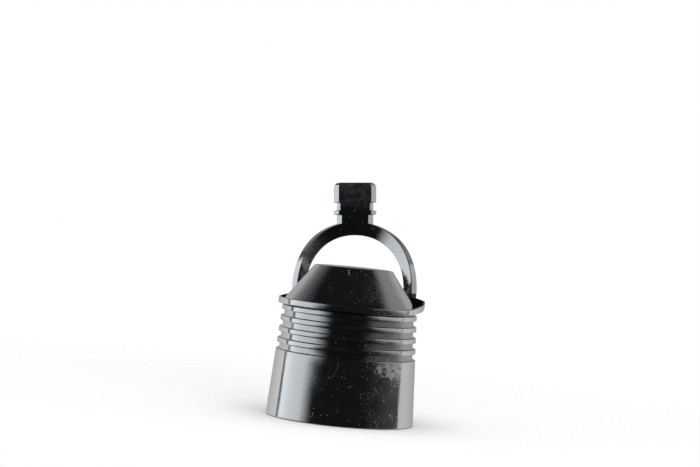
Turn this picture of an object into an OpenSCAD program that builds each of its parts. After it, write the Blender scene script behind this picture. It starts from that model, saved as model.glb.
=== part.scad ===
// Soft cover for a tow ball, moulded in one piece.
// A ribbed cap stands on its mouth, and a belt folded up behind it carries a
// retaining ring with a grooved pull tab. Z is the cap's axis, the belt lies
// on the +Y side, and the origin is the centre of the ball that the cap covers.

/* [Socket] */
// Diameter of the ball that the cap covers
ball_d = 50; // [49.6:0.1:50.4]
// Height that the flat on top of the ball takes off it
ball_flat = 2; // [0:0.5:7]
// Space between the ball and the socket wall
ball_gap = 0.8; // [0.6:0.1:1]
// Thickness left between the socket and the top groove
socket_wall = 2.1; // [1.6:0.1:3]
// Height of the slope that leads the ball from the skirt into the socket
lead_h = 3; // [1:0.5:6]

/* [Skirt] */
// Height of the smooth skirt, from the mouth to the first groove
skirt_h = 28.5; // [20:0.5:40]
// Flare of the outside, in degrees from the axis
draft = 3.4; // [1:0.1:5]
// Thickness of the skirt, the cone and the crown
wall = 2; // [1.4:0.1:2.6]
// Radius on the outer edges
edge_r = 0.35; // [0.1:0.05:0.5]
// Radius in the inner corners of the grooves
root_r = 0.25; // [0.1:0.05:0.4]

/* [Ribs] */
// Number of ribs above the skirt
rib_count = 4; // [2:1:6]
// Height of one rib
rib_h = 2.2; // [1.4:0.1:3]
// Height of the groove below each rib
groove_h = 2.6; // [1.4:0.1:4]
// Depth of the grooves
groove_depth = 1.3; // [0.8:0.1:1.6]

/* [Lip] */
// Distance by which the lip stands out from the ribs
lip_out = 2; // [1:0.1:3]
// Height of the lip
lip_h = 2.6; // [2:0.1:4]
// Gap between the top rib and the lip
lip_gap = 0.5; // [0.4:0.1:1.5]
// Thickness of the lip's upright wall
lip_t = 1.2; // [0.8:0.1:1.6]
// Width of the gutter between the lip and the cone, level with the top of the lip
gutter_w = 1.8; // [1.6:0.1:2.6]
// Depth of the gutter
gutter_depth = 1.4; // [0.8:0.1:1.8]

/* [Cone] */
// Diameter of the flat crown
crown_d = 34; // [26:0.5:42]
// Height of the crown above the lip
cone_h = 15; // [11:0.5:20]
// Radius on the edge of the crown
crown_r = 0.7; // [0.2:0.1:2]

/* [Belt] */
// Width of the belt
belt_w = 17; // [10:0.5:20]
// Thickness of the belt
belt_t = 2; // [1.4:0.1:3]
// Distance from the mouth's plane up to the ring
belt_rise = 29.4; // [20:0.2:40]
// Space between the mouth and the folded belt
belt_gap = 1.2; // [1:0.1:4]
// Sideways place of the belt on the mouth
belt_x = 6.9; // [0:0.1:9]
// Lean of the belt, the ring and the tab against the cap's axis, in degrees
lean = 5.5; // [0:0.5:10]

/* [Ring] */
// Diameter of the hole in the ring
ring_hole_d = 44.8; // [34:0.2:50]
// Width of the ring's band, from its hole to its rim
ring_w = 5.6; // [4:0.1:9]
// Thickness of the ring
ring_t = 3.3; // [2.6:0.1:4]

/* [Tab] */
// Width of the tab's head and of its flange
head_w = 19; // [16:0.5:24]
// Height of the head
head_h = 9; // [7:0.5:14]
// Radius of the head's top corners
head_corner_r = 2.4; // [1:0.1:4]
// Thickness of the head, the flange and the neck, whose front is level with the ring's
tab_t = 5.2; // [4:0.1:7]
// Width of the flat sides, between the sloped cuts along the tab's edges
tab_side = 0.8; // [0.4:0.1:2]
// Width of the neck and of the waist
neck_w = 16.3; // [10:0.1:18]
// Height of the neck, from the ring's rim to the flange
neck_h = 3.2; // [2:0.1:8]
// Height of the flange
flange_h = 1.8; // [1:0.1:3]
// Height of the waist between the flange and the head
waist_h = 3.6; // [2:0.1:6]
// Depth of the waist in the tab's front and back
waist_depth = 0.7; // [0.3:0.1:1]

/* [Hidden] */
$fn = 96;
// Straight steps that make up one rounded corner of an outline
corner_steps = 4;
// Length by which pieces of one moulding run into each other
bite = 1.5;

pitch = rib_h + groove_h;
ribs_top = skirt_h + rib_count * pitch;
lip_bottom = ribs_top + lip_gap;
lip_top = lip_bottom + lip_h;
gutter_floor = lip_top - gutter_depth;
crown_top = lip_top + cone_h;

socket_r = ball_d / 2 + ball_gap;
ribs_r = socket_r + socket_wall + groove_depth;
mouth_r = outer_r(0);
lip_r = outer_r(lip_bottom) + lip_out;
foot_r = lip_r - lip_t - gutter_w;

cone_slope = (foot_r - crown_d / 2) / cone_h;
cone_wall = wall * sqrt(1 + cone_slope * cone_slope);
crown_under = crown_top - wall;
ball_centre = crown_under - ball_d / 2 + ball_flat;
socket_bottom = skirt_h + groove_h / 2;
socket_top = lip_top - (socket_r + cone_wall - foot_r) / cone_slope;

ring_r = ring_hole_d / 2 + ring_w;
ring_z = belt_rise + ring_r;
strap_r = mouth_r + belt_gap;
belt_back = strap_r + belt_t;
belt_top = belt_rise + ring_w / 2;
tab_y = strap_r + tab_t / 2;

// Radius of the drafted outside at a height above the mouth
function outer_r(z) = ribs_r + (ribs_top - z) * tan(draft);
// Radius of the cone's outside at a height above the mouth
function cone_r(z) = foot_r - (z - lip_top) * cone_slope;
// Height of the underside of a rib, counted from the skirt up
function rib_z(i) = skirt_h + groove_h + i * pitch;

// Points of one outline corner b, rounded by its third value
function flat(p) = [p[0], p[1]];
function corner(a, b, c) =
    let (u = flat(a) - flat(b), v = flat(c) - flat(b), half = acos(u * v / norm(u) / norm(v)) / 2)
    let (middle = u / norm(u) + v / norm(v))
    let (centre = flat(b) + middle / norm(middle) * b[2] / sin(half))
    let (start = flat(b) + u / norm(u) * b[2] / tan(half) - centre)
    let (stop = flat(b) + v / norm(v) * b[2] / tan(half) - centre)
    let (from = atan2(start[1], start[0]), turn = atan2(stop[1], stop[0]) - from)
    let (sweep = turn > 180 ? turn - 360 : turn < -180 ? turn + 360 : turn)
    [for (i = [0 : corner_steps])
        centre + b[2] * [cos(from + sweep * i / corner_steps), sin(from + sweep * i / corner_steps)]];

// Outline through points [x, y, radius], where radius 0 leaves a corner sharp
function outline(p) =
    [for (i = [0 : len(p) - 1])
        each p[i][2] == 0
            ? [flat(p[i])]
            : corner(p[(i + len(p) - 1) % len(p)], p[i], p[(i + 1) % len(p)])];

// Upper and lower edges of one rib, from its underside up
function rib_points(z) = [
    [outer_r(z) - groove_depth, z, root_r],
    [outer_r(z), z, edge_r],
    [outer_r(z + rib_h), z + rib_h, edge_r],
    [outer_r(z + rib_h) - groove_depth, z + rib_h, root_r]
];

// Outside of the cap, from the mouth to the crown
module cap_outside() {
    profile = concat(
        [[0, 0, 0], [mouth_r, 0, edge_r], [outer_r(skirt_h), skirt_h, edge_r]],
        [[outer_r(skirt_h) - groove_depth, skirt_h, root_r]],
        [for (i = [0 : rib_count - 1]) each rib_points(rib_z(i))],
        [[outer_r(lip_bottom) - groove_depth, lip_bottom, 0], [lip_r, lip_bottom, edge_r]],
        [[lip_r, lip_top, edge_r], [lip_r - lip_t, lip_top, edge_r]],
        [[lip_r - lip_t, gutter_floor, root_r], [cone_r(gutter_floor), gutter_floor, root_r]],
        [[crown_d / 2, crown_top, crown_r], [0, crown_top, 0]]
    );
    rotate_extrude() polygon(outline(profile));
}

// Hollow of the cap: the skirt, a slope, the straight socket and the cone
module cap_hollow() {
    profile = [
        [0, -bite, 0],
        [outer_r(-bite) - wall, -bite, 0],
        [outer_r(socket_bottom - lead_h) - wall, socket_bottom - lead_h, 0],
        [socket_r, socket_bottom, 0],
        [socket_r, socket_top, 0],
        [cone_r(crown_under) - cone_wall, crown_under, 0],
        [0, crown_under, 0]
    ];
    rotate_extrude() polygon(outline(profile));
}

// Stands a flat outline up behind the cap, leaning about the belt's foot
module leaning() {
    translate([belt_x, 0, 0]) rotate([0, -lean, 0]) children();
}

// Extrudes a flat outline through the half of the space behind the cap's axis
module behind() {
    leaning() translate([0, 2 * mouth_r, 0]) rotate([90, 0, 0]) linear_extrude(2 * mouth_r) children();
}

// Belt that leaves the mouth, folds up and follows the cap's round back to the ring
module belt() {
    profile = [
        [mouth_r - bite, 0, 0],
        [belt_back, 0, belt_gap + belt_t],
        [belt_back, belt_top, 0],
        [strap_r, belt_top, 0],
        [strap_r, belt_t, belt_gap],
        [mouth_r - bite, belt_t, 0]
    ];
    intersection() {
        rotate_extrude() polygon(outline(profile));
        behind() translate([-belt_w / 2, -belt_w]) square([belt_w, belt_w + belt_top]);
    }
}

// Retaining ring, bent round the back of the cap
module ring() {
    intersection() {
        difference() {
            cylinder(r = strap_r + ring_t, h = ring_z + 2 * ring_r);
            translate([0, 0, -bite]) cylinder(r = strap_r, h = ring_z + 2 * ring_r + 2 * bite);
        }
        behind() translate([0, ring_z]) difference() {
            circle(r = ring_r);
            circle(d = ring_hole_d);
        }
    }
}

// Upright bar with sloped cuts along its edges, standing on z = 0
module bar(width, depth, height) {
    linear_extrude(height) intersection() {
        square([width, depth], center = true);
        rotate(45) square((width + tab_side) * sqrt(0.5), center = true);
    }
}

// Front outline of the head, with its top corners rounded
module head_front() {
    profile = [
        [-head_w / 2, 0, 0],
        [head_w / 2, 0, 0],
        [head_w / 2, head_h, head_corner_r],
        [-head_w / 2, head_h, head_corner_r]
    ];
    rotate([90, 0, 0]) linear_extrude(tab_t, center = true) polygon(outline(profile));
}

// Pull tab on top of the ring: neck, flange, waist and head, from z = 0 up
module tab() {
    translate([0, 0, -ring_w / 2]) bar(neck_w, tab_t, ring_w / 2 + neck_h + flange_h);
    translate([0, 0, neck_h]) bar(head_w, tab_t, flange_h);
    translate([0, 0, neck_h])
        bar(neck_w, tab_t - 2 * waist_depth, flange_h + waist_h + head_h / 2);
    translate([0, 0, neck_h + flange_h + waist_h]) intersection() {
        bar(head_w, tab_t, head_h);
        head_front();
    }
}

// Belt, ring and tab, which lean together about the belt's foot
module strap() {
    belt();
    ring();
    leaning() translate([0, tab_y, ring_z + ring_r]) tab();
}

module cover() {
    color([0.008, 0.008, 0.009])
        translate([0, 0, -ball_centre])
            difference() {
                union() {
                    cap_outside();
                    strap();
                }
                cap_hollow();
            }
}

cover();
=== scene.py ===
# Dresses the tow ball cover: one soft moulding of glossy black PVC, standing on its mouth.
# The CAD node gives the place and the size, and this script models the same forms with
# fine edges, with the lip and the ring bent as the photograph shows them, and gives them
# their worn, dusty gloss.
import functools
import math

import bmesh
import bpy
from mathutils import Matrix, Vector


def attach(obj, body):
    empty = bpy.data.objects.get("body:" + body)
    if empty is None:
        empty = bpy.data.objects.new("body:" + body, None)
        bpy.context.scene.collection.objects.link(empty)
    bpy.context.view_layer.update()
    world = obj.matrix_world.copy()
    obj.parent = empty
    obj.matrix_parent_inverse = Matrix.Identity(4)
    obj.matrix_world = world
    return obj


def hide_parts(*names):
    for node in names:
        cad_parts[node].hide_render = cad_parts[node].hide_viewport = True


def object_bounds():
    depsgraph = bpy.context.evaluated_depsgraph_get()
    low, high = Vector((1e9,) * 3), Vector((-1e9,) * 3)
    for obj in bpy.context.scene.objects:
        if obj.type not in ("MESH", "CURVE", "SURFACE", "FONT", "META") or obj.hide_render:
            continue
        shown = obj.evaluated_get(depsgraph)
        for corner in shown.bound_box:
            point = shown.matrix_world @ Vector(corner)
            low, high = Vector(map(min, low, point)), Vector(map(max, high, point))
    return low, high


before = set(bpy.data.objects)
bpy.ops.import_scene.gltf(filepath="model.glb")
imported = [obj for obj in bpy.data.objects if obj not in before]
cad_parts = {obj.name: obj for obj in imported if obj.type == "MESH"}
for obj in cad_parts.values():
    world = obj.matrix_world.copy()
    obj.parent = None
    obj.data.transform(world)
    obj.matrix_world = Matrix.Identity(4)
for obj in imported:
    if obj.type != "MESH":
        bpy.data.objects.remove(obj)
cad_lo, cad_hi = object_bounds()

MM = 0.001
MOUTH_Z = cad_lo.z

# Sizes of the moulding in millimetres, as in the CAD source, with heights above the mouth
BALL_R, BALL_GAP, SOCKET_WALL, LEAD_H = 25, 0.8, 2.1, 3
SKIRT_H, DRAFT, WALL = 28.5, math.radians(3.4), 2
RIB_COUNT, RIB_H, GROOVE_H, GROOVE_DEPTH = 4, 2.2, 2.6, 1.3
LIP_OUT, LIP_H, LIP_GAP, LIP_T, GUTTER_W, GUTTER_DEPTH = 2, 2.6, 0.5, 1.2, 1.8, 1.4
CROWN_R, CONE_H, CROWN_EDGE = 17, 15, 0.7
BELT_W, BELT_T, BELT_RISE, BELT_GAP, BELT_X, LEAN = 17, 2, 29.4, 1.2, 6.9, math.radians(5.5)
RING_HOLE_R, RING_W, RING_T = 22.4, 5.6, 3.3
# The ring as the photograph shows it: (half width along the bend, top, bottom) of its two edges,
# the height of its widest place, the depth of its dish and its twist
RING_HOLE, RING_RIM, RING_MIDDLE = (23.5, 79.4, 35), (28.8, 85.4, 29.4), 55.2
RING_DISH, RING_TWIST = 0.25, math.radians(5)
HEAD_W, HEAD_H, HEAD_CORNER, TAB_T, TAB_SIDE = 19, 9, 2.4, 5.2, 0.8
NECK_W, NECK_H, FLANGE_H, WAIST_H, WAIST_DEPTH = 16.3, 3.2, 1.8, 3.6, 0.7
# Radius on the outer edges, in the inner corners, and on the belt's and the tab's edges
EDGE, ROOT, SOFT = 0.35, 0.25, 0.3
# Radius inside, under the crown and at the foot of the slope, and at the ends of the straight socket
HOLLOW, SOCKET_EDGE = 0.5, 0.4
# Length by which the forms of one moulding run into each other, and the belt's height above the mouth
BITE, BELT_FOOT = 1.5, 0.05
# Rounding of the head's top, and draft of the lip's outside
HEAD_TOP, LIP_DRAFT = 1.4, math.radians(1.2)
# Recess of the grooves, where the gutter has 1, and share of the lip's bend at the gutter's floor
GROOVE_RECESS, GUTTER_SHARE = 0.4, 0.45
# A step between two sections of the tab: (height from the step, side of the step, distance from its edge),
# where side 0 is below the step and side 1 above it
STEP_EDGE = [(-0.3, 0, 0), (-0.09, 0, 0.09), (0, 0, 0.3), (0, 1, 0.3), (0.09, 1, 0.09), (0.3, 1, 0)]

PITCH = RIB_H + GROOVE_H
RIBS_TOP = SKIRT_H + RIB_COUNT * PITCH
LIP_BOTTOM = RIBS_TOP + LIP_GAP
LIP_TOP = LIP_BOTTOM + LIP_H
GUTTER_FLOOR = LIP_TOP - GUTTER_DEPTH
CROWN_TOP = LIP_TOP + CONE_H
SOCKET_R = BALL_R + BALL_GAP


def outer_r(z):
    """Radius of the drafted outside at a height above the mouth."""
    return SOCKET_R + SOCKET_WALL + GROOVE_DEPTH + (RIBS_TOP - z) * math.tan(DRAFT)


MOUTH_R = outer_r(0)
LIP_R = outer_r(LIP_BOTTOM) + LIP_OUT
FOOT_R = LIP_R - LIP_T - GUTTER_W
CONE_SLOPE = (FOOT_R - CROWN_R) / CONE_H
CONE_WALL = WALL * math.sqrt(1 + CONE_SLOPE**2)
CROWN_UNDER = CROWN_TOP - WALL
STRAP_R = MOUTH_R + BELT_GAP
RING_R = RING_HOLE_R + RING_W
RING_Z = BELT_RISE + RING_R

# How the lip of this one is bent: (direction, lift, push outwards), with the direction in degrees from
# the front over the right
LIP_BEND = [
    (-180, 1.6, 0), (-130, 0.9, 0), (-95, 0, 0), (50, 0, 0),
    (80, 1.6, 0.7), (95, 3.4, 1.2), (125, 4, 0.8), (180, 1.6, 0),
]
# Lift of the crown's front edge
CROWN_LIFT = 0.65

# Fineness of the meshes: steps round the cap and the ring, and the longest stretch of the cap's outline
CAP_TURNS, RING_TURNS, LONGEST = 288, 224, 2.5

# Colours of the clean surface and of the dust on it; the pale one also paints the sheen on the tab
BLACK, DUST_AND_SHEEN = (0.0055, 0.006, 0.007, 1), (0.22, 0.22, 0.23, 1)


def cone_r(z):
    """Radius of the cone's outside at a height above the mouth."""
    return FOOT_R - (z - LIP_TOP) * CONE_SLOPE


def smooth(t):
    """Eases 0 to 1."""
    t = min(max(t, 0), 1)
    return t * t * (3 - 2 * t)


def rounded(points, steps=4):
    """Closed outline through (x, y, radius, *extra) points, with each corner rounded by its radius."""
    out = []
    for i, (x, y, radius, *extra) in enumerate(points):
        here = Vector((x, y))
        if not radius:
            out.append((x, y, *extra))
            continue
        back = (Vector(points[i - 1][:2]) - here).normalized()
        on = (Vector(points[(i + 1) % len(points)][:2]) - here).normalized()
        half = back.angle(on) / 2
        centre = here + (back + on).normalized() * radius / math.sin(half)
        start = here + back * radius / math.tan(half) - centre
        turn = start.angle_signed(here + on * radius / math.tan(half) - centre)
        for k in range(steps + 1):
            p = centre + Matrix.Rotation(-turn * k / steps, 2) @ start
            out.append((p.x, p.y, *extra))
    return out


def split(outline, longest):
    """The outline with points added where a straight stretch is longer than longest."""
    out = []
    for a, b in zip(outline, outline[1:]):
        parts = max(1, math.ceil(math.dist(a[:2], b[:2]) / longest))
        out += [tuple(u + (v - u) * k / parts for u, v in zip(a, b)) for k in range(parts)]
    return out + [outline[-1]]


def mesh_object(name, points, faces):
    """Object from points in millimetres, with heights above the mouth, put in the row frame."""
    mesh = bpy.data.meshes.new(name)
    mesh.from_pydata([(x * MM, y * MM, z * MM + MOUTH_Z) for x, y, z in points], [], faces)
    mesh.validate()
    obj = bpy.data.objects.new(name, mesh)
    bpy.context.scene.collection.objects.link(obj)
    return obj


def loft(name, loops, closed=False):
    """Object from loops of equally many points, capped at both ends or, where closed, joined end to end."""
    count = len(loops[0])
    points = [p for loop in loops for p in loop]
    faces = []
    for a in range(len(loops) if closed else len(loops) - 1):
        this, on = a * count, (a + 1) % len(loops) * count
        faces += [(this + k, this + (k + 1) % count, on + (k + 1) % count, on + k) for k in range(count)]
    if not closed:
        faces += [tuple(reversed(range(count))), tuple(range(len(points) - count, len(points)))]
    return mesh_object(name, points, faces)


# The cap
def lip_bend(direction):
    """Lift and outward push of the lip in a direction, in degrees from the front over the right."""
    for (a, lift_a, out_a), (b, lift_b, out_b) in zip(LIP_BEND, LIP_BEND[1:]):
        if a <= direction <= b:
            t = smooth((direction - a) / (b - a))
            return lift_a + (lift_b - lift_a) * t, out_a + (out_b - out_a) * t
    return 0, 0


def cap_profile():
    """Outline of the cap as (radius, height, corner radius, share of the lip's bend, recess).

    The recess is 1 in the gutter and GROOVE_RECESS in the grooves; the material paints shade there by
    making the gloss duller and darker, in the grooves only at the right.
    """
    groove = [(outer_r(SKIRT_H) - GROOVE_DEPTH, SKIRT_H, ROOT, 0, GROOVE_RECESS)]
    for i in range(RIB_COUNT):
        z = SKIRT_H + GROOVE_H + i * PITCH
        root = ROOT if i < RIB_COUNT - 1 else 0
        groove += [
            (outer_r(z) - GROOVE_DEPTH, z, ROOT, 0, GROOVE_RECESS),
            (outer_r(z), z, EDGE, 0, 0),
            (outer_r(z + RIB_H), z + RIB_H, EDGE, 0, 0),
            (outer_r(z + RIB_H) - GROOVE_DEPTH, z + RIB_H, root, 0, GROOVE_RECESS),
        ]
    socket_bottom = SKIRT_H + GROOVE_H / 2
    socket_top = LIP_TOP - (SOCKET_R + CONE_WALL - FOOT_R) / CONE_SLOPE
    return [
        (0, CROWN_UNDER, 0, 0, 0),
        (cone_r(CROWN_UNDER) - CONE_WALL, CROWN_UNDER, HOLLOW, 0, 0),
        (SOCKET_R, socket_top, SOCKET_EDGE, 0, 0),
        (SOCKET_R, socket_bottom, SOCKET_EDGE, 0, 0),
        (outer_r(socket_bottom - LEAD_H) - WALL, socket_bottom - LEAD_H, HOLLOW, 0, 0),
        (outer_r(0) - WALL, 0, EDGE, 0, 0),
        (MOUTH_R, 0, EDGE, 0, 0),
        (outer_r(SKIRT_H), SKIRT_H, EDGE, 0, 0),
        *groove,
        (outer_r(LIP_BOTTOM) - GROOVE_DEPTH, LIP_BOTTOM, 0, 0, GROOVE_RECESS),
        (LIP_R, LIP_BOTTOM, EDGE, 1, 0),
        (LIP_R - LIP_H * math.tan(LIP_DRAFT), LIP_TOP, EDGE, 1, 0),
        (LIP_R - LIP_T, LIP_TOP, EDGE, 1, 1),
        (LIP_R - LIP_T, GUTTER_FLOOR, ROOT, GUTTER_SHARE, 1),
        (cone_r(GUTTER_FLOOR), GUTTER_FLOOR, ROOT, 0, 1),
        (cone_r(LIP_TOP), LIP_TOP, 0, 0, 0),
        (CROWN_R, CROWN_TOP, CROWN_EDGE, 0, 0),
        (0, CROWN_TOP, 0, 0, 0),
    ]


def cap():
    """The cap, turned about its axis, with the lip bent up at the right as in the photograph."""
    outline = split(rounded(cap_profile()), LONGEST)[1:-1]
    loops = []
    for k in range(CAP_TURNS):
        turn = math.tau * k / CAP_TURNS - math.pi
        lift, push = lip_bend(math.degrees(turn))
        loop = []
        for r, z, share, recess in outline:
            front = math.cos(turn) * min(r / CROWN_R, 1)
            crown = CROWN_LIFT * max(front, 0) * smooth((z - LIP_TOP) / CONE_H)
            r += push * share
            loop.append((r * math.sin(turn), -r * math.cos(turn), z + lift * share + crown))
        loops.append(loop)
    points = [p for loop in loops for p in loop] + [(0, 0, CROWN_UNDER), (0, 0, CROWN_TOP)]
    under, top = len(points) - 2, len(points) - 1
    count, last = len(outline), len(outline) - 1
    faces = []
    for a in range(CAP_TURNS):
        this, on = a * count, (a + 1) % CAP_TURNS * count
        faces += [(this + k, on + k, on + k + 1, this + k + 1) for k in range(last)]
        faces += [(under, on, this), (top, this + last, on + last)]
    obj = mesh_object("cap", points, faces)
    recesses = [p[-1] for p in outline] * CAP_TURNS + [0, 0]
    obj.data.attributes.new("recess", "FLOAT", "POINT").data.foreach_set("value", recesses)
    return obj


# The strap: the ring, the belt and the tab
def leaning(x, z):
    """A point of the strap's own upright plane, leant about the belt's foot."""
    return BELT_X + x * math.cos(LEAN) - z * math.sin(LEAN), x * math.sin(LEAN) + z * math.cos(LEAN)


def ring():
    """The ring: a flat band round an oval, bent round the back of the cap, with its rim facing outwards.

    Its upper half is dished a little and twisted towards the cap at the right, where it bends the lip.
    """
    loops = []
    for k in range(RING_TURNS):
        a = math.tau * k / RING_TURNS
        dish = RING_DISH * max(math.sin(a), 0) ** 2
        section = [(RING_HOLE, dish), (RING_RIM, -dish), (RING_RIM, RING_T), (RING_HOLE, RING_T)]
        loop = []
        for (half_w, top, bottom), depth in section:
            reach = top - RING_MIDDLE if math.sin(a) > 0 else RING_MIDDLE - bottom
            x, z = leaning(half_w * math.cos(a), RING_MIDDLE + reach * math.sin(a))
            r, turn = STRAP_R + depth, x / STRAP_R
            twist = math.tan(RING_TWIST) * smooth((z - BELT_RISE) / RING_R)
            loop.append((r * math.sin(turn), r * math.cos(turn) - r * math.sin(turn) * twist, z))
        loops.append(loop)
    return loft("ring", loops, closed=True)


def belt():
    """The belt: it leaves the mouth's rim, folds up and follows the cap's back to the ring."""
    back, top = STRAP_R + BELT_T, BELT_RISE + RING_W / 2
    profile = rounded([
        (MOUTH_R - BITE, BELT_FOOT, 0), (back, BELT_FOOT, BELT_GAP + BELT_T), (back, top, 0),
        (STRAP_R, top, 0), (STRAP_R, BELT_T, BELT_GAP), (MOUTH_R - BITE, BELT_T, 0),
    ])
    across = 12
    loops = []
    for k in range(across + 1):
        loop = []
        for r, z in profile:
            x = leaning(BELT_W * (k / across - 0.5), z)[0]
            loop.append((x, math.sqrt(r**2 - x**2), z))
        loops.append(loop)
    return loft("belt", loops)


def tab_outline(width, depth):
    """Outline of the tab seen from above, with sloped and slightly rounded edges."""
    half_w, half_d, side = width / 2, depth / 2, TAB_SIDE / 2
    flat = half_w - (half_d - side)
    front = [(-half_w, -side), (-flat, -half_d), (flat, -half_d), (half_w, -side)]
    back = [(-x, -y) for x, y in front]
    return rounded([(x, y, SOFT) for x, y in front + back], 3)


def tab():
    """The pull tab on top of the ring: neck, flange, waist and head."""
    neck, flange = (NECK_W, TAB_T), (HEAD_W, TAB_T)
    waist = (NECK_W, TAB_T - 2 * WAIST_DEPTH)
    base = RING_Z + RING_R
    heights = [base + NECK_H, base + NECK_H + FLANGE_H, base + NECK_H + FLANGE_H + WAIST_H]
    top = heights[2] + HEAD_H
    sections = [(base - RING_W / 2, neck), (base - RING_W / 2 + EDGE, neck)]
    for z, below, above in zip(heights, (neck, flange, waist), (flange, waist, flange)):
        grow = [b - a for a, b in zip(below, above)]
        for rise, start, step in STEP_EDGE:
            ease = [math.copysign(min(2 * step, abs(g) / 2), g) for g in grow]
            if start == 0:
                section = [a + e for a, e in zip(below, ease)]
            else:
                section = [b - e for b, e in zip(above, ease)]
            sections.append((z + rise, section))
    steps = 8
    for k in range(steps + 1):
        a = math.pi / 2 * k / steps
        inwards, down = 1 - math.cos(a), 1 - math.sin(a)
        section = (HEAD_W - 2 * HEAD_CORNER * inwards, TAB_T - 2 * HEAD_TOP * inwards)
        sections.append((top - HEAD_CORNER * down, section))
    loops = []
    for z, (width, depth) in sections:
        loop = []
        for x, y in tab_outline(width, depth):
            x, up = leaning(x, z)
            loop.append((x, STRAP_R + TAB_T / 2 + y, up))
        loops.append(loop)
    return loft("tab", loops)


def bevel(obj, radius):
    """Rounds the sharp edges of obj."""
    edges = obj.modifiers.new("edges", "BEVEL")
    edges.width = radius * MM
    edges.segments = 3
    edges.limit_method = "ANGLE"
    edges.angle_limit = math.radians(40)


def moulding():
    """All the forms in one object, with their modifiers applied and smooth normals."""
    parts = [cap(), ring(), belt(), tab()]
    bevel(parts[1], EDGE)
    bevel(parts[2], SOFT)
    graph = bpy.context.evaluated_depsgraph_get()
    joined = bmesh.new()
    for part in parts:
        made = bpy.data.meshes.new_from_object(part.evaluated_get(graph))
        joined.from_mesh(made)
    bmesh.ops.recalc_face_normals(joined, faces=joined.faces)
    for face in joined.faces:
        face.smooth = True
    mesh = bpy.data.meshes.new("cover_moulding")
    joined.to_mesh(mesh)
    joined.free()
    for part in parts:
        bpy.data.objects.remove(part)
    obj = bpy.data.objects.new("cover_moulding", mesh)
    bpy.context.scene.collection.objects.link(obj)
    normals = obj.modifiers.new("normals", "WEIGHTED_NORMAL")
    normals.mode = "FACE_AREA_WITH_ANGLE"
    normals.weight = 80
    return obj


# The material
class Nodes:
    """Short names for the shader nodes that this script uses."""

    def __init__(self, tree):
        self.tree = tree
        tree.nodes.clear()

    def add(self, kind, inputs=(), **settings):
        """A new node, with its settings and with a value or another node's output at each input."""
        node = self.tree.nodes.new(kind)
        for key, value in settings.items():
            setattr(node, key, value)
        for key, value in dict(inputs).items():
            if isinstance(value, bpy.types.NodeSocket):
                self.tree.links.new(value, node.inputs[key])
            else:
                node.inputs[key].default_value = value
        return node

    def math(self, operation, *values):
        """Result of an operation on the values."""
        return self.add("ShaderNodeMath", dict(enumerate(values)), operation=operation).outputs[0]

    def product(self, *values):
        """All the values multiplied."""
        return functools.reduce(lambda a, b: self.math("MULTIPLY", a, b), values)

    def total(self, *values):
        """All the values added."""
        return functools.reduce(lambda a, b: self.math("ADD", a, b), values)

    def span(self, value, low, high, out_low=0.0, out_high=1.0):
        """Value mapped from low..high to out_low..out_high, eased and clamped."""
        inputs = {"Value": value, 1: low, 2: high, 3: out_low, 4: out_high}
        return self.add("ShaderNodeMapRange", inputs, interpolation_type="SMOOTHSTEP").outputs[0]

    def mix(self, share, a, b):
        """Colour a with a share of colour b."""
        return self.add("ShaderNodeMix", {0: share, 6: a, 7: b}, data_type="RGBA").outputs[2]


def height(mm):
    """Height in the row frame of a height above the mouth in millimetres."""
    return mm * MM + MOUTH_Z


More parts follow.
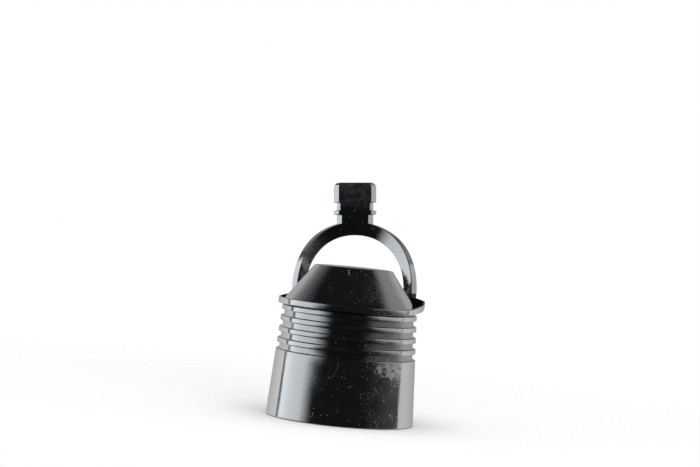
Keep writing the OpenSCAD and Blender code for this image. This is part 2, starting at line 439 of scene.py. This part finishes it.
class Surface(Nodes):
    """Nodes for the marks on the moulding, by their place in the row frame."""

    def __init__(self, tree):
        super().__init__(tree)
        self.place = self.add("ShaderNodeTexCoord").outputs["Object"]
        self.x, self.y, self.z = self.add("ShaderNodeSeparateXYZ", {0: self.place}).outputs
        self.front = self.math("LESS_THAN", self.y, 0)

    def noise(self, scale, rough=0.5, detail=3):
        """Soft noise from 0 to 1, with about as many blotches a metre as scale says."""
        inputs = {"Vector": self.place, "Scale": scale, "Detail": detail, "Roughness": rough}
        return self.add("ShaderNodeTexNoise", inputs).outputs["Fac"]

    def distance(self, at, half_w=1, half_h=1):
        """Distance from (x, height above the mouth), counted in half widths and half heights."""
        across = self.math("DIVIDE", self.math("SUBTRACT", self.x, at[0] * MM), half_w * MM)
        along = self.math("DIVIDE", self.math("SUBTRACT", self.z, height(at[1])), half_h * MM)
        return self.math("SQRT", self.total(self.math("POWER", across, 2), self.math("POWER", along, 2)))

    def arc(self, at, radius, width, low, high):
        """Thin line along the right half of a circle on the front, between two heights above the mouth."""
        off = self.math("ABSOLUTE", self.math("SUBTRACT", self.distance(at), radius))
        return self.product(
            self.span(off, width, width / 3),
            self.math("LESS_THAN", self.y, (1 - CROWN_R) * MM),
            self.math("GREATER_THAN", self.x, at[0] * MM),
            self.math("GREATER_THAN", self.z, height(low)),
            self.math("LESS_THAN", self.z, height(high)),
        )

    def patch(self, at, half_w, half_h, wobble):
        """Blotch with a ragged edge on the front, fading from where it is solid to where it is gone."""
        solid, gone = 0.4, 1.15
        ragged = self.span(self.noise(420), 0.3, 0.7, -wobble, wobble)
        reach = self.total(self.distance(at, half_w, half_h), ragged)
        return self.product(self.span(reach, gone, solid), self.front)

    def specks(self, scale, size, share):
        """Specks of different brightness in a share of the cells of a pattern, with their size in cells."""
        cells = self.add("ShaderNodeTexVoronoi", {"Vector": self.place, "Scale": scale}).outputs
        chance, bright = self.add("ShaderNodeSeparateColor", {0: cells["Color"]}).outputs[:2]
        return self.product(
            self.span(cells["Distance"], size, size / 2),
            self.math("GREATER_THAN", chance, 1 - share),
            self.math("MULTIPLY_ADD", bright, 0.8, 0.2),
        )

    def dust(self):
        """Small pale specks over everything, with larger and rarer ones among them."""
        coarse = self.specks(scale=640, size=0.15, share=0.012)
        fine = self.specks(scale=1500, size=0.34, share=0.035)
        return self.math("MAXIMUM", coarse, fine)

    def scuffs(self, right, cone):
        """Fine blotches in patches at the right of the front, and finer ones at the right of the cone."""
        fine = self.span(self.noise(1500, rough=0.7), 0.5, 0.66)
        patches = self.span(self.noise(130, rough=0.6), 0.42, 0.62)
        finer = self.span(self.noise(1900, rough=0.7), 0.52, 0.66)
        return self.math("MAXIMUM", self.product(fine, patches, right), self.product(finer, cone))

    def smudge(self):
        """The dull smudge under the last groove, with two darker spots in it."""
        smudge = self.patch(at=(19.6, 25), half_w=5.6, half_h=3.6, wobble=0.5)
        left_spot = self.patch(at=(16.9, 25.2), half_w=1.3, half_h=1.0, wobble=0.3)
        right_spot = self.patch(at=(20.6, 24.8), half_w=0.9, half_h=0.8, wobble=0.3)
        spots = self.math("MAXIMUM", left_spot, right_spot)
        return self.product(smudge, self.math("SUBTRACT", 1, spots))

    def lint(self):
        """A bit of lint that hangs on the crown's front edge."""
        upper = self.arc(at=(-2.4, 64.9), radius=0.5, width=0.16, low=64.4, high=65.5)
        lower = self.arc(at=(-2.2, 64), radius=0.55, width=0.16, low=63.4, high=64.5)
        return self.math("MAXIMUM", upper, lower)

    def hair(self):
        """A fine hair on the skirt."""
        return self.arc(at=(-10.8, 25.8), radius=8, width=0.12, low=19.9, high=27)

    def tab_sheen(self):
        """Painted sheen: faint pale mottling on the tab, fading in over the waist and full on the head,
        standing in for a faint reflection on its front.
        """
        mottling = self.span(self.noise(300, rough=0.6), 0.35, 0.65, 0.02, 0.1)
        return self.product(self.span(self.z, height(90), height(94)), mottling)

    def bumps(self):
        """Normal of a fine grain on long, faint waves."""
        grain = {"Height": self.noise(2600), "Strength": 0.06, "Distance": 0.1 * MM}
        waves = {"Height": self.noise(110, detail=2), "Strength": 0.12, "Distance": 0.6 * MM}
        waves["Normal"] = self.add("ShaderNodeBump", grain).outputs[0]
        return self.add("ShaderNodeBump", waves).outputs[0]


def soft_pvc():
    """Glossy black soft PVC with scuffs, dust and one dull smudge, with painted shade as duller, darker
    gloss in the gutter and the grooves at the right, and a painted sheen on the tab.
    """
    material = bpy.data.materials.new("soft_pvc")
    material.use_nodes = True
    pvc = Surface(material.node_tree)
    right = pvc.product(pvc.span(pvc.x, 4 * MM, 16 * MM, 0.15, 1.0), pvc.span(pvc.y, 12 * MM, 0.0))
    on_cone = pvc.span(pvc.z, height(LIP_TOP), height(LIP_TOP + 3))
    cone = pvc.product(on_cone, pvc.span(pvc.x, 2 * MM, 10 * MM), pvc.front)
    scuffs, dust, smudge = pvc.scuffs(right, cone), pvc.dust(), pvc.smudge()
    recess = pvc.add("ShaderNodeAttribute", attribute_name="recess").outputs["Fac"]
    # Painted shade: the gloss is made duller and its specular level lower in the gutter and in the grooves
    # at the right, which darkens their reflections
    right_groove_shade = pvc.product(pvc.span(recess, GROOVE_RECESS / 2, GROOVE_RECESS), right, 0.55)
    dull = pvc.math("MAXIMUM", pvc.span(recess, 0.55, 0.9), right_groove_shade)
    gloss = pvc.total(
        pvc.span(pvc.noise(160), 0.3, 0.7, 0.07, 0.12),
        pvc.product(scuffs, 0.2),
        pvc.product(dust, 0.5),
        pvc.product(smudge, 0.2),
        pvc.product(dull, 0.25),
    )
    pale = pvc.total(
        pvc.product(scuffs, pvc.math("MULTIPLY_ADD", cone, 0.12, 0.16)),
        pvc.product(dust, 0.75),
        pvc.product(smudge, 0.2),
        pvc.product(pvc.lint(), 0.8),
        pvc.product(pvc.hair(), 0.22),
        # painted sheen on the tab's front
        pvc.tab_sheen(),
    )
    look = {
        "Base Color": pvc.mix(pale, BLACK, DUST_AND_SHEEN),
        "Roughness": gloss,
        "IOR": 1.53,
        # less specular where dull: painted shade in the gutter and the right grooves
        "Specular IOR Level": pvc.math("SUBTRACT", 0.5, pvc.product(dull, 0.5)),
        "Normal": pvc.bumps(),
    }
    shader = pvc.add("ShaderNodeBsdfPrincipled", look)
    pvc.add("ShaderNodeOutputMaterial", {"Surface": shader.outputs[0]})
    return material


cover = moulding()
cover.data.materials.append(soft_pvc())
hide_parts("cover")
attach(cover, "root")


# The studio
def floor():
    """A pale floor under the mouth, which keeps the cover's shadow and isn't reflected in it."""
    plane = bpy.data.meshes.new("floor")
    half, gap = 3000 * MM, 0.2 * MM
    corners = [(-half, -half, 0), (half, -half, 0), (half, half, 0), (-half, half, 0)]
    plane.from_pydata(corners, [], [(0, 1, 2, 3)])
    obj = bpy.data.objects.new("floor", plane)
    obj.location.z = MOUTH_Z - gap
    material = bpy.data.materials.new("floor")
    material.use_nodes = True
    nodes = Nodes(material.node_tree)
    look = {"Base Color": (0.86, 0.86, 0.86, 1), "Roughness": 0.9, "Specular IOR Level": 0.0}
    shader = nodes.add("ShaderNodeBsdfPrincipled", look)
    place = nodes.add("ShaderNodeTexCoord").outputs["Object"]
    away = nodes.add("ShaderNodeVectorMath", {0: place}, operation="LENGTH")
    fade = nodes.span(away.outputs["Value"], 120 * MM, 300 * MM)
    clear = nodes.add("ShaderNodeBsdfTransparent")
    mixed = nodes.add("ShaderNodeMixShader", {0: fade, 1: shader.outputs[0], 2: clear.outputs[0]})
    nodes.add("ShaderNodeOutputMaterial", {"Surface": mixed.outputs[0]})
    plane.materials.append(material)
    obj.visible_glossy = False
    bpy.context.scene.collection.objects.link(obj)


def softbox(name, distance, near, far, low, high, radiance, soft, colour=(1, 1, 1)):
    """A curved panel that only the gloss shows.

    It runs from the direction near to the direction far, in degrees from the front, where near is
    a direction level with the skirt and one level with the ring. Its lower edge goes from the first
    height in low, at near, to the second, at far, and its upper edge lies at the height high. Its
    near, far and lower edges fade over the shares of its size in soft.
    """
    across, up = 24, 16
    points, glows = [], []
    for i in range(across + 1):
        u = i / across
        bottom = low[0] + (low[1] - low[0]) * u
        for j in range(up + 1):
            v = j / up
            z = bottom + (high - bottom) * v
            start = near[0] + (near[1] - near[0]) * smooth((z - SKIRT_H) / (RING_Z - SKIRT_H))
            turn = math.radians(start + (far - start) * u)
            points.append((distance * math.sin(turn), -distance * math.cos(turn), z))
            glows.append(smooth(u / soft[0]) * smooth((1 - u) / soft[1]) * smooth(v / soft[2]))
    faces = [
        (i * (up + 1) + j, (i + 1) * (up + 1) + j, (i + 1) * (up + 1) + j + 1, i * (up + 1) + j + 1)
        for i in range(across)
        for j in range(up)
    ]
    obj = mesh_object(name, points, faces)
    glow = obj.data.attributes.new("glow", "FLOAT", "POINT")
    glow.data.foreach_set("value", glows)
    material = bpy.data.materials.new(name)
    material.use_nodes = True
    nodes = Nodes(material.node_tree)
    share = nodes.add("ShaderNodeAttribute", attribute_name="glow").outputs["Fac"]
    strength = nodes.math("MULTIPLY", share, radiance)
    light = nodes.add("ShaderNodeEmission", {"Color": (*colour, 1), "Strength": strength})
    nodes.add("ShaderNodeOutputMaterial", {"Surface": light.outputs[0]})
    obj.data.materials.append(material)
    obj.visible_camera = obj.visible_diffuse = obj.visible_shadow = False


def fill(name, place, size, radiance):
    """A lamp that lights the floor, the dust and the scuffs, and isn't mirrored in the gloss.

    Its place and its size are in metres, and it looks at the origin.
    """
    lamp = bpy.data.lights.new(name, "AREA")
    lamp.size = size
    lamp.energy = radiance * math.pi * size**2
    obj = bpy.data.objects.new(name, lamp)
    obj.location = place
    obj.rotation_euler = Vector(place).to_track_quat("Z", "Y").to_euler()
    obj.visible_glossy = False
    bpy.context.scene.collection.objects.link(obj)


def sky():
    """White to the camera, dark in front for the gloss, and pale behind and beside the cover.

    Its light is placed by turn, in degrees from the front over the right, and by rise above level.
    """
    world = bpy.data.worlds.new("sky")
    world.use_nodes = True
    bpy.context.scene.world = world
    nodes = Nodes(world.node_tree)
    direction = nodes.add("ShaderNodeTexCoord").outputs["Generated"]
    x, y, z = nodes.add("ShaderNodeSeparateXYZ", {0: direction}).outputs
    turn = nodes.math("DEGREES", nodes.math("ARCTAN2", x, nodes.math("MULTIPLY", y, -1)))
    rise = nodes.math("DEGREES", nodes.math("ARCSINE", z))
    # Behind the cover the light is divided by what the gloss mirrors of it at an upright wall, so that
    # such a wall looks even, up to its silhouette
    half_turn = nodes.math("RADIANS", nodes.math("DIVIDE", turn, 2))
    edge = nodes.math("SUBTRACT", 1, nodes.math("COSINE", half_turn))
    head_on = 0.045
    mirror = nodes.total(head_on, nodes.product(nodes.math("POWER", edge, 5), 1 - head_on))
    left = nodes.product(nodes.span(turn, -116, -119), 0.4)
    right = nodes.product(nodes.span(turn, 102, 104), 0.34)
    haze = nodes.product(nodes.span(turn, 38, 96), nodes.span(turn, 104, 102), 0.03)
    back = nodes.math("DIVIDE", nodes.total(left, right, haze), mirror)
    back = nodes.product(back, nodes.span(rise, 34, 10))
    # Beside the cover there is light high up, for the cone
    left_side = nodes.product(nodes.span(turn, -90, -132), nodes.span(turn, -170, -125, 0.3, 1.35))
    right_side = nodes.product(nodes.span(turn, 80, 106), nodes.span(turn, 165, 105, 0.35, 2.6))
    high = nodes.product(nodes.span(rise, 8, 24), nodes.span(rise, 66, 46))
    sides = nodes.product(nodes.total(left_side, right_side), high)
    glow = nodes.total(back, sides, 0.004)
    gloss = nodes.add("ShaderNodeBackground", {"Color": (1, 1, 1, 1), "Strength": glow})
    seen = nodes.add("ShaderNodeBackground", {"Color": (1, 1, 1, 1), "Strength": 1.0})
    even = nodes.add("ShaderNodeBackground", {"Color": (1, 1, 1, 1), "Strength": 0.6})
    path = nodes.add("ShaderNodeLightPath").outputs
    to_gloss = {0: path["Is Glossy Ray"], 1: even.outputs[0], 2: gloss.outputs[0]}
    unseen = nodes.add("ShaderNodeMixShader", to_gloss)
    to_camera = {0: path["Is Camera Ray"], 1: unseen.outputs[0], 2: seen.outputs[0]}
    mixed = nodes.add("ShaderNodeMixShader", to_camera)
    nodes.add("ShaderNodeOutputWorld", {"Surface": mixed.outputs[0]})


def camera():
    """The photograph's view: a long lens, almost level, rolled by the lean of the cap in the picture.

    Its place is counted in metres from the middle of the mouth: back, to the side and above.
    """
    film, lens_px, width_px = 36, 2300, 700
    back, to_side, above = 0.9982, 0.00467, 0.0804
    down, roll = math.radians(1.5), math.radians(5.5)
    ahead = Vector((0, math.cos(down), -math.sin(down)))
    level, up = Vector((1, 0, 0)), Vector((0, math.sin(down), math.cos(down)))
    side = level * math.cos(roll) + up * math.sin(roll)
    top = up * math.cos(roll) - level * math.sin(roll)
    mouth = Vector((0, 0, MOUTH_Z))
    data = bpy.data.cameras.new("camera")
    data.sensor_width = film
    data.lens = film * lens_px / width_px
    data.clip_start = 0.05
    data.clip_end = 20
    obj = bpy.data.objects.new("camera", data)
    place = mouth - ahead * back + side * to_side + top * above
    obj.matrix_world = Matrix.Translation(place) @ Matrix((side, top, -ahead)).transposed().to_4x4()
    bpy.context.scene.collection.objects.link(obj)
    bpy.context.scene.camera = obj


floor()
sky()
camera()
softbox(
    "left_box", distance=500, near=(-44, -26), far=-112, low=(-150, -150), high=330,
    radiance=11, soft=(0.36, 0.1, 0.1), colour=(0.9, 0.96, 1),
)
softbox(
    "right_box", distance=600, near=(24, 24), far=103, low=(80, 4), high=520,
    radiance=6.5, soft=(0.46, 0.02, 0.01),
)
fill("above", place=(0, -0.1, 1.2), size=1.2, radiance=2.2)
fill("before", place=(0.5, -1.2, 0.5), size=0.8, radiance=2.2)
bpy.context.scene.view_settings.view_transform = "Standard"
